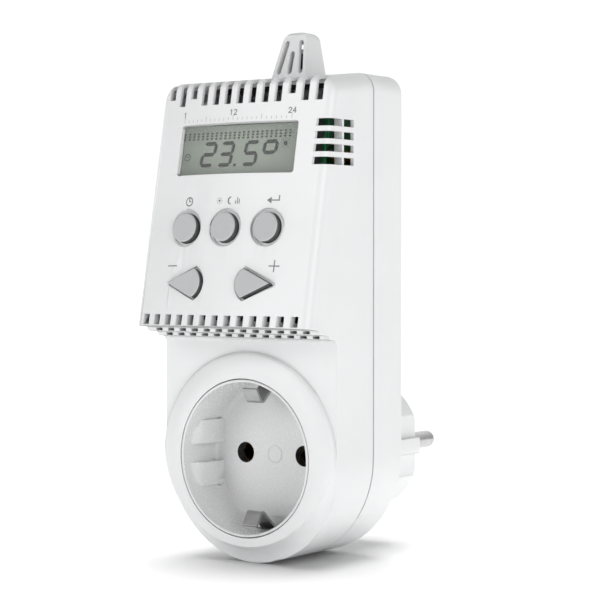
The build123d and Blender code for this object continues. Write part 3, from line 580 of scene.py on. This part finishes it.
@dataclass
class Panel:
    """Coordinates on the sloping control panel: across, up the slope, and out from it.

    The zero point is the middle of the display opening, on the plane of the panel's side edges.
    """

    inward: Vector
    half: float = 27.5 * MM
    bulge: float = 2.36 * MM
    lens_middle: float = 0.75 * MM
    origin: Vector = field(init=False)

    def __post_init__(self) -> None:
        """Finds the zero point from the display window."""
        low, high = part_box("display_window")
        self.out = -self.inward.normalized()
        self.right = Vector((1, 0, 0))
        self.up = self.out.cross(self.right)
        self.origin = (low + high) / 2 - self.out * self.lens_middle

    def height(self, x: float) -> float:
        """Height of the panel's face at a distance x from its middle."""
        return self.bulge * (1 - (x / self.half) ** 2)

    def place(self, x: float, up: float, out: float) -> Vector:
        """Returns the point in the row frame."""
        return self.origin + self.right * x + self.up * up + self.out * out

    def find(self, node: str) -> Point:
        """Returns where a node's middle lies across and up the panel."""
        low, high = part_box(node)
        middle = (low + high) / 2 - self.origin
        return middle.dot(self.right), middle.dot(self.up)

    def lay(self, piece: bpy.types.Object, x: float, up: float, out: float, follow: bool) -> bpy.types.Object:
        """Moves a piece drawn flat round (0, 0) to its place on the panel.

        Args:
            piece: the piece, its top towards +Z.
            x: place across the panel.
            up: place up the slope.
            out: place above the panel's face, or above its side edges' plane.
            follow: whether the piece bends with the panel's bulge.

        Returns:
            The piece.
        """
        base = 0.0 if follow else out
        for vertex in piece.data.vertices:
            across = x + vertex.co.x
            level = base + vertex.co.z + (self.height(across) + out if follow else 0.0)
            vertex.co = self.place(across, up + vertex.co.y, level)
        piece.data.update()
        return piece


class Side(Enum):
    """The two arrow keys."""

    MINUS = -1
    PLUS = 1


# ---------------------------------------------------------------------------------------------
# Casing, socket, plug: shapes that come from the frame
# ---------------------------------------------------------------------------------------------


@dataclass
class FrameShapes:
    """Pieces whose shape is the frame's own, merged and shaded smoothly, and all other frame nodes."""

    frame: dict
    smooth: float = 28.0
    merge: float = 0.002 * MM
    flat: float = 0.3
    key_side: float = 0.2
    tongue_root: float = -38.3 * MM
    face_front: float = -55.35 * MM
    downward: float = -0.9
    floor_y: float = -43.85 * MM
    pin_x: float = 9.5 * MM
    hole_radius: float = 2.8 * MM
    tread_low: float = 30.35 * MM
    tread_high: float = 34.4 * MM
    shells: tuple[str, ...] = (
        "front_housing", "rear_housing", "socket_insert", "sensor_cap_front", "sensor_cap_rear",
        "earth_clip_upper", "earth_clip_lower", "plug_pin_left", "plug_pin_right", "plug_earth_upper",
        "plug_earth_lower", "plug_body", "key_function", "key_mode", "key_enter", "key_minus", "key_plus",
        "case_screws", "thermistor")

    def slot_of(self, node: str) -> str:
        """Returns the record's material slot of a node."""
        parts = self.frame["record"]["subparts"]
        return next(part["material_slot"] for part in parts if part["node"] == node)

    def body_of(self, node: str) -> str:
        """Returns the body that a node belongs to."""
        bodies = self.frame["record"]["behaviour"]["bodies"]
        return next(body for body, nodes in bodies.items() if node in nodes)

    def copy_node(self, node: str) -> bpy.types.Object:
        """Makes a merged, smoothly shaded copy of a frame node and hides the node.

        Args:
            node: the node's name.

        Returns:
            The copy.
        """
        release()
        bpy.ops.mesh.primitive_cube_add(size=1.0)
        piece = bpy.context.object
        piece.data = self.frame["nodes"][node].data.copy()
        piece.name = node + "_skin"
        edit(piece, "VERT")
        bpy.ops.mesh.remove_doubles(threshold=self.merge)
        bpy.ops.mesh.select_all(action="SELECT")
        bpy.ops.mesh.dissolve_limited(angle_limit=math.radians(self.flat))
        release()
        take(piece)
        bpy.ops.object.shade_smooth_by_angle(angle=math.radians(self.smooth))
        weighted = piece.modifiers.new("weighted", "WEIGHTED_NORMAL")
        weighted.keep_sharp = True
        apply_all(piece)
        piece.data.materials.clear()
        piece.data.materials.append(Store.get(FINISHES[self.slot_of(node)]))
        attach(piece, self.body_of(node))
        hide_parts(node)
        LOG.info("piece %s", piece.name)
        return piece

    def shade(self, piece: bpy.types.Object, look: Moulding, chosen: FaceTest) -> None:
        """Paints some faces of a piece with a second, dark material: painted shade.

        Args:
            piece: the piece.
            look: the painted shade.
            chosen: tells from a face's middle and normal whether the face takes it.
        """
        piece.data.materials.append(Store.get(look))
        for face in piece.data.polygons:
            if chosen(face.center, face.normal):
                face.material_index = 1

    def in_pin_hole(self, middle: Vector, normal: Vector) -> bool:
        """Tells whether a face lies in one of the two pin holes."""
        reach = math.hypot(abs(middle.x) - self.pin_x, middle.z)
        return reach < self.hole_radius and middle.y > self.floor_y

    def under_step(self, middle: Vector, normal: Vector) -> bool:
        """Tells whether a face is one of the downward treads behind the panel's foot."""
        in_reach = middle.y < self.face_front and self.tread_low < middle.z < self.tread_high
        return normal.z < self.downward and in_reach

    def build(self, panel: Panel) -> None:
        """Makes the copies, paints shade on the faces that lie in shadow, and dresses every other node.

        Args:
            panel: the sloping panel, whose keys get painted shade on their sides.
        """
        # Painted shade on faces that lie in shadow: the treads under the panel's foot, the pin holes' walls and
        # the seam's tongue.
        darker = {
            "front_housing": (STEP_PAINTED_SHADE, self.under_step),
            "socket_insert": (HOLE_PAINTED_SHADE, self.in_pin_hole),
            "rear_housing": (SEAM_PAINTED_SHADE, lambda middle, normal: middle.y < self.tongue_root)}
        # Painted shade on the keys' side walls, the faces that turn away from the panel's face.
        key_side_painted_shade = (KEY_PAINTED_SHADE, lambda middle, normal: normal.dot(panel.out) < self.key_side)
        for node in self.shells:
            piece = self.copy_node(node)
            if node.startswith("key_"):
                self.shade(piece, *key_side_painted_shade)
            elif node in darker:
                self.shade(piece, *darker[node])
        low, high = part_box("lcd_glass")
        cell = CrystalCell("lcd_cell", tuple((low + high) / 2))
        for node, thing in self.frame["nodes"].items():
            slot = self.slot_of(node)
            look = cell if slot == "lcd_cell" else FINISHES[slot]
            thing.data.materials.clear()
            thing.data.materials.append(Store.get(look))


# ---------------------------------------------------------------------------------------------
# Display
# ---------------------------------------------------------------------------------------------


@dataclass
class Display:
    """What the liquid crystal cell shows: hour dots, a temperature and two small symbols."""

    panel: Panel
    level: float = 0.12 * MM
    film: float = 0.03 * MM
    columns: int = 24
    rows: int = 3
    first_x: float = -18.2 * MM
    column_pitch: float = 1.47 * MM
    first_row: float = 4.6 * MM
    row_pitch: float = 0.72 * MM
    dot: float = 0.66 * MM
    digit_width: float = 3.75 * MM
    digit_height: float = 5.75 * MM
    digit_foot: float = -3.9 * MM
    stroke: float = 1.0 * MM
    gap: float = 0.05 * MM
    lean: float = 0.145
    dot_flatness: float = 0.7
    digit_places: tuple[float, ...] = (-12.1 * MM, -6.4 * MM, 1.55 * MM, 7.4 * MM)
    point_place: Point = (-0.95 * MM, -4.0 * MM)
    point_radius: float = 0.42 * MM
    sun_place: Point = (14.5 * MM, 1.25 * MM)
    clock_place: Point = (-16.7 * MM, -1.6 * MM)
    clock_radius: float = 1.0 * MM
    clock_rim: float = 0.2 * MM
    clock_hand: float = 0.18 * MM

    def dots(self) -> bpy.types.Object:
        """Returns the rows of small marks, one column for each hour."""
        marks = []
        for column in range(self.columns):
            for row in range(self.rows):
                x = self.first_x + column * self.column_pitch
                y = self.first_row - row * self.row_pitch
                half = self.dot / 2
                rise = self.dot_flatness * half
                outline = [
                    (x - half, y - rise),
                    (x + half, y - rise),
                    (x + half, y + rise),
                    (x - half, y + rise),
                ]
                marks.append(plate(outline, self.film))
        return join("lcd_dots", marks)

    def segment_ends(self, width: float, height: float) -> dict[str, tuple[Point, Point]]:
        """Returns the two ends of each of the seven strokes of a digit."""
        middle = height / 2
        return {
            "top": ((0, height), (width, height)), "middle": ((0, middle), (width, middle)),
            "foot": ((0, 0), (width, 0)), "upper_left": ((0, middle), (0, height)),
            "upper_right": ((width, middle), (width, height)), "lower_left": ((0, 0), (0, middle)),
            "lower_right": ((width, 0), (width, middle))}

    def digit(self, strokes: Sequence[str], x: float) -> list[bpy.types.Object]:
        """Builds a digit of pointed strokes.

        Args:
            strokes: names of the strokes that are on.
            x: the digit's left edge at its foot.

        Returns:
            One plate for each stroke.
        """
        plates = []
        ends = self.segment_ends(self.digit_width, self.digit_height)
        for name in strokes:
            start, end = Vector(ends[name][0]), Vector(ends[name][1])
            along = (end - start).normalized() * self.gap
            outline = bar(start + along, end - along, self.stroke, self.stroke / 2)
            slanted = [(x + px + self.lean * py, self.digit_foot + py) for px, py in outline]
            plates.append(plate(slanted, self.film))
        return plates

    def figures(self) -> bpy.types.Object:
        """Returns the temperature figures."""
        two = ("top", "upper_right", "middle", "lower_left", "foot")
        three = ("top", "upper_right", "middle", "lower_right", "foot")
        five = ("top", "upper_left", "middle", "lower_right", "foot")
        degree = ("top", "upper_left", "upper_right", "middle")
        plates = []
        for strokes, x in zip((two, three, five, degree), self.digit_places):
            plates += self.digit(strokes, x)
        plates.append(plate(circle(self.point_radius, 16, self.point_place), self.film))
        return join("lcd_figures", plates)

    def symbols(self) -> bpy.types.Object:
        """Returns the small sun at the right and a small clock at the left."""
        plates = sun_plates(self.sun_place, 0.62 * MM, 20, (0.95 * MM, 1.45 * MM), self.film)
        x, y = self.clock_place
        rim = frame_plate(circle(self.clock_radius, 32, (x, y)), self.clock_rim, self.film, 0.005 * MM)
        plates.append(rim)
        for tip in ((x, y + 0.62 * MM), (x + 0.5 * MM, y)):
            plates.append(plate(bar((x, y), tip, self.clock_hand), self.film))
        return join("lcd_symbols", plates)

    def build(self) -> None:
        """Lays everything on the cell's front."""
        for piece in (self.dots(), self.figures(), self.symbols()):
            self.panel.lay(piece, 0, 0, self.level, follow=False)
            finish_piece(piece, SEGMENT_BLACK)


# ---------------------------------------------------------------------------------------------
# Printing and key surrounds
# ---------------------------------------------------------------------------------------------


@dataclass
class Printing:
    """Hour scale above the display and plain symbols beside the keys."""

    panel: Panel
    film: float = 0.03 * MM
    sink: float = -0.012 * MM
    hours: int = 24
    first_x: float = -18.0 * MM
    pitch: float = 1.502 * MM
    tick_foot: float = 7.3 * MM
    tick_short: float = 0.75 * MM
    tick_long: float = 1.4 * MM
    tick_width: float = 0.15 * MM
    figure_up: float = 8.75 * MM
    figure_pitch: float = 1.25 * MM
    figure_line: float = 0.24 * MM
    figure_shift: float = 0.15
    sign_x: float = 16.25 * MM
    sign_rise: float = 4.95 * MM
    sign_half: float = 1.55 * MM
    return_shift: float = 1.2 * MM
    symbol_up: float = -13.85 * MM
    line: float = 0.32 * MM

    def print_piece(self, name: str, plates: Sequence[bpy.types.Object], place: Point, look: Ink) -> None:
        """Joins plates into one print and lays it on the panel."""
        piece = join(name, plates)
        self.panel.lay(piece, place[0], place[1], self.sink, follow=True)
        finish_piece(piece, look)

    def ticks(self) -> None:
        """One tick for each hour, longer at each sixth."""
        plates = []
        for hour in range(self.hours):
            x = self.first_x + hour * self.pitch
            long_tick = hour == 0 or (hour + 1) % 6 == 0
            length = self.tick_long if long_tick else self.tick_short
            plates.append(plate(bar((x, 0), (x, length), self.tick_width), self.film))
        self.print_piece("hour_ticks", plates, (0, self.tick_foot), PRINT_PALE)

    def trail(self, points: Sequence[Point], widths: Sequence[float]) -> list[bpy.types.Object]:
        """Short straight bars from point to point.

        Args:
            points: the trail, in millimetres.
            widths: width of each bar, in millimetres.

        Returns:
            One plate for each bar.
        """
        plates = []
        for start, end, width in zip(points, points[1:], widths):
            along = (Vector(end) - Vector(start)).normalized() * width * 0.35
            first, last = (Vector(start) - along) * MM, (Vector(end) + along) * MM
            plates.append(plate(bar(tuple(first), tuple(last), width * MM), self.film))
        return plates

    def figures(self) -> None:
        """The figures 1, 12 and 24 over their ticks."""
        shapes = {
            "1": [(0.1, 1.1), (0.42, 1.4), (0.42, 0.0)],
            "2": [(0.0, 1.05), (0.12, 1.28), (0.4, 1.4), (0.7, 1.3), (0.82, 1.05), (0.7, 0.75), (0.4, 0.42),
                  (0.0, 0.0), (0.85, 0.0)],
            "4": [(0.64, 0.0), (0.64, 1.4), (0.0, 0.42), (0.9, 0.42)]}
        for hour in (1, 12, 24):
            label = str(hour)
            plates = []
            for index, sign in enumerate(label):
                shift = (index - len(label) / 2) * self.figure_pitch / MM + self.figure_shift
                points = [(x + shift, y) for x, y in shapes[sign]]
                plates += self.trail(points, [self.figure_line / MM] * len(points))
            x = self.first_x + (hour - 1) * self.pitch
            self.print_piece(f"hour_{hour}", plates, (x, self.figure_up), PRINT_GREY)

    def clock(self) -> list[bpy.types.Object]:
        """A round clock face with two hands."""
        plates = [frame_plate(circle(1.25 * MM, 48), self.line, self.film, 0.005 * MM)]
        plates.append(plate(bar((0, 0), (0, 0.85 * MM), self.line), self.film))
        plates.append(plate(bar((0, 0), (0.65 * MM, 0), self.line), self.film))
        return plates

    def day_and_night(self) -> list[bpy.types.Object]:
        """A small sun, a crescent moon and three bars of a programme."""
        plates = sun_plates((-2.7 * MM, 0.0), 0.34 * MM, 16, (0.6 * MM, 0.95 * MM), self.film)
        turns = [math.radians(78 + 204 * index / 12) for index in range(13)]
        arc = [(0.85 + 0.72 * math.cos(turn), 0.92 * math.sin(turn)) for turn in turns]
        widths = [0.14 + 0.26 * math.sin(math.pi * (index + 0.5) / 12) for index in range(12)]
        plates += self.trail(arc, widths)
        for index, height in enumerate((0.8, 1.7, 1.25)):
            x = (2.5 + 0.55 * index) * MM
            plates.append(plate(bar((x, -0.85 * MM), (x, (height - 0.85) * MM), 0.26 * MM), self.film))
        return plates

    def return_arrow(self) -> list[bpy.types.Object]:
        """An arrow that turns down and back."""
        head = [(-2.1 * MM, 0.0), (-0.7 * MM, -0.85 * MM), (-0.7 * MM, 0.85 * MM)]
        shaft = bar((-0.8 * MM, 0), (1.5 * MM, 0), self.line)
        riser = bar((1.5 * MM, -self.line / 2), (1.5 * MM, 1.3 * MM), self.line)
        return [plate(outline, self.film) for outline in (head, shaft, riser)]

    def build(self) -> None:
        """Prints the scale and the symbols."""
        self.ticks()
        self.figures()
        key_x, _ = self.panel.find("key_enter")
        self.print_piece("symbol_clock", self.clock(), (-key_x, self.symbol_up), PRINT_GREY)
        self.print_piece("symbol_day_night", self.day_and_night(), (0, self.symbol_up), PRINT_GREY)
        place = (key_x + self.return_shift, self.symbol_up)
        self.print_piece("symbol_return", self.return_arrow(), place, PRINT_GREY)
        _, arrow_up = self.panel.find("key_plus")
        sign_up, half = arrow_up + self.sign_rise, self.sign_half
        minus = [plate(bar((-half, 0), (half, 0), self.line), self.film)]
        self.print_piece("symbol_minus", minus, (-self.sign_x, sign_up), PRINT_GREY)
        plus = [plate(bar((-half, 0), (half, 0), self.line), self.film)]
        plus += [plate(bar((0, -half), (0, half), self.line), self.film)]
        self.print_piece("symbol_plus", plus, (self.sign_x, sign_up), PRINT_GREY)


@dataclass
class KeySurrounds:
    """Grey trim rings that line the recesses round the five keys."""

    panel: Panel
    recess: float = 0.8 * MM
    thickness: float = 0.42 * MM
    width: float = 0.72 * MM
    ring_radius: float = 4.94 * MM
    rounding: float = 0.12 * MM
    arc_radius: float = 5.0 * MM
    arc_centre: float = 10.0 * MM
    shoulder: Point = (7.9 * MM, 4.5 * MM)
    tip: float = 18.0 * MM
    tip_radius: float = 0.6 * MM
    arrow_width: float = 0.4 * MM
    shrink: float = 0.06 * MM
    middle_shift: float = 1.2 * MM
    arc_steps: int = 24
    tip_steps: int = 8

    def arrow_outline(self, side: Side) -> list[Point]:
        """Returns the outline of an arrow recess, counter-clockwise, in panel distances round the key row."""
        sx, sy = self.shoulder
        rise = math.atan2(sy, self.tip - sx)
        tip_centre = self.tip - self.tip_radius / math.sin(rise)
        points = []
        back = math.atan2(sy, sx - self.arc_centre)
        radius = self.arc_radius
        for index in range(self.arc_steps + 1):
            turn = back + (2 * math.pi - 2 * back) * index / self.arc_steps
            points.append((self.arc_centre + radius * math.cos(turn), radius * math.sin(turn)))
        spread = math.pi / 2 - rise
        for index in range(self.tip_steps + 1):
            turn = -spread + 2 * spread * index / self.tip_steps
            points.append((tip_centre + self.tip_radius * math.cos(turn), self.tip_radius * math.sin(turn)))
        if side is Side.MINUS:
            points = [(-x, y) for x, y in reversed(points)]
        middle = side.value * (self.arc_centre + self.middle_shift)
        factor = 1 - self.shrink / self.arc_radius
        return [(middle + (x - middle) * factor, y * factor) for x, y in points]

    def build(self) -> None:
        """Makes the three round trims and the two arrow trims."""
        for key in ("function", "mode", "enter"):
            x, up = self.panel.find("key_" + key)
            piece = frame_plate(circle(self.ring_radius, 96), self.width, self.thickness, self.rounding)
            piece.name = "surround_" + key
            self.panel.lay(piece, x, up, self.panel.height(x) - self.recess, follow=False)
            finish_piece(piece, RING_GREY)
        for side in Side:
            key = side.name.lower()
            _, up = self.panel.find("key_" + key)
            piece = frame_plate(self.arrow_outline(side), self.arrow_width, self.thickness, self.rounding)
            piece.name = "surround_" + key
            level = self.panel.height(self.arc_centre) - self.recess
            self.panel.lay(piece, 0, up, level, follow=False)
            finish_piece(piece, RING_GREY)


# ---------------------------------------------------------------------------------------------
# Studio
# ---------------------------------------------------------------------------------------------


@dataclass(frozen=True)
class Sun:
    """A distant soft light."""

    name: str
    towards: tuple[float, float, float]
    strength: float
    spread: float

    def build(self) -> bpy.types.Object:
        """Adds the light and returns it."""
        data = bpy.data.lights.new(self.name, "SUN")
        data.energy = self.strength
        data.angle = math.radians(self.spread)
        lamp = bpy.data.objects.new(self.name, data)
        lamp.rotation_euler = (-Vector(self.towards)).to_track_quat("-Z", "Y").to_euler()
        bpy.context.scene.collection.objects.link(lamp)
        return lamp


@dataclass
class Studio:
    """Camera, white floor, white surroundings and soft lights."""

    camera_place: tuple[float, float, float] = (0.30115, -0.45948, 0.05143)
    camera_turn: float = 35.18
    camera_tilt: float = 1.19
    lens: float = 116.64
    floor_gap: float = 0.1 * MM
    floor_size: float = 60.0
    backdrop: float = 1.05
    surroundings: float = 0.21
    fade: tuple[float, float] = (0.1, 0.8)
    suns: tuple[Sun, ...] = (
        Sun("right_light", (0.86, -0.34, 0.2), 1.16, 38),
        Sun("left_light", (-0.36, -0.86, 0.36), 0.78, 34),
        Sun("top_light", (0.1, -0.2, 1.0), 0.1, 60))
    floor_sun: Sun = Sun("floor_light", (0.0, 0.05, 1.0), 2.9, 50)

    def camera(self) -> None:
        """Adds the camera."""
        data = bpy.data.cameras.new("camera")
        data.lens = self.lens
        camera = bpy.data.objects.new("camera", data)
        camera.location = self.camera_place
        camera.rotation_euler = (math.radians(90 - self.camera_tilt), 0, math.radians(self.camera_turn))
        bpy.context.scene.collection.objects.link(camera)
        bpy.context.scene.camera = camera

    def floor(self, level: float) -> None:
        """Adds the floor just under the object."""
        release()
        bpy.ops.mesh.primitive_plane_add(size=self.floor_size, location=(0, 0, level - self.floor_gap))
        floor = bpy.context.object
        floor.name = "floor"
        recipe = Recipe("floor_white")
        recipe.set(Base_Color=grey(0.95), Roughness=0.9, Specular_IOR_Level=0.1)
        recipe.set(Emission_Color=grey(1.0), Emission_Strength=0.01)
        floor.data.materials.append(recipe.material)
        floor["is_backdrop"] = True
        self.light_floor(floor)

    def light_floor(self, floor: bpy.types.Object) -> None:
        """Lights the floor from above by a light of its own, which makes the soft shadow under the casing.

        Args:
            floor: the floor, which the other lights leave out.
        """
        only, without = (bpy.data.collections.new(name) for name in ("floor_only", "all_but_floor"))
        only.objects.link(floor)
        without.objects.link(floor)
        without.collection_objects[0].light_linking.link_state = "EXCLUDE"
        self.floor_sun.build().light_linking.receiver_collection = only
        for sun in self.suns:
            sun.build().light_linking.receiver_collection = without

    def world(self) -> None:
        """Adds white surroundings, brightest behind the object."""
        world = bpy.data.worlds.new("studio")
        bpy.context.scene.world = world
        world.use_nodes = True
        nodes, links = world.node_tree.nodes, world.node_tree.links
        turn = math.radians(self.camera_turn)
        place = nodes.new("ShaderNodeTexCoord")
        along = nodes.new("ShaderNodeVectorMath")
        along.operation = "DOT_PRODUCT"
        along.inputs[1].default_value = (-math.sin(turn), math.cos(turn), 0.0)
        strength = nodes.new("ShaderNodeMapRange")
        strength.interpolation_type = "SMOOTHSTEP"
        strength.inputs["From Min"].default_value = self.fade[0]
        strength.inputs["From Max"].default_value = self.fade[1]
        strength.inputs["To Min"].default_value = self.surroundings
        strength.inputs["To Max"].default_value = self.backdrop
        background = nodes["Background"]
        background.inputs["Color"].default_value = grey(1.0)
        links.new(place.outputs["Generated"], along.inputs[0])
        links.new(along.outputs["Value"], strength.inputs["Value"])
        links.new(strength.outputs["Result"], background.inputs["Strength"])

    def build(self, low: Vector) -> None:
        """Adds the floor, the surroundings and the lights.

        Args:
            low: lowest corner of the object.
        """
        self.floor(low.z)
        self.world()
        bpy.context.scene.view_settings.view_transform = "Standard"


def main() -> None:
    """Builds every sub-assembly in order."""
    logging.basicConfig(level=logging.INFO, format="%(message)s")
    studio = Studio()
    studio.camera()
    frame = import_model()
    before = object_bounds()
    press = next(joint for joint in frame["joints"] if joint["name"] == "function_press")
    panel = Panel(Vector(press["axis"]))
    FrameShapes(frame).build(panel)
    Display(panel).build()
    Printing(panel).build()
    KeySurrounds(panel).build()
    studio.build(Vector(before[0]))


if __name__ == "__main__":
    main()
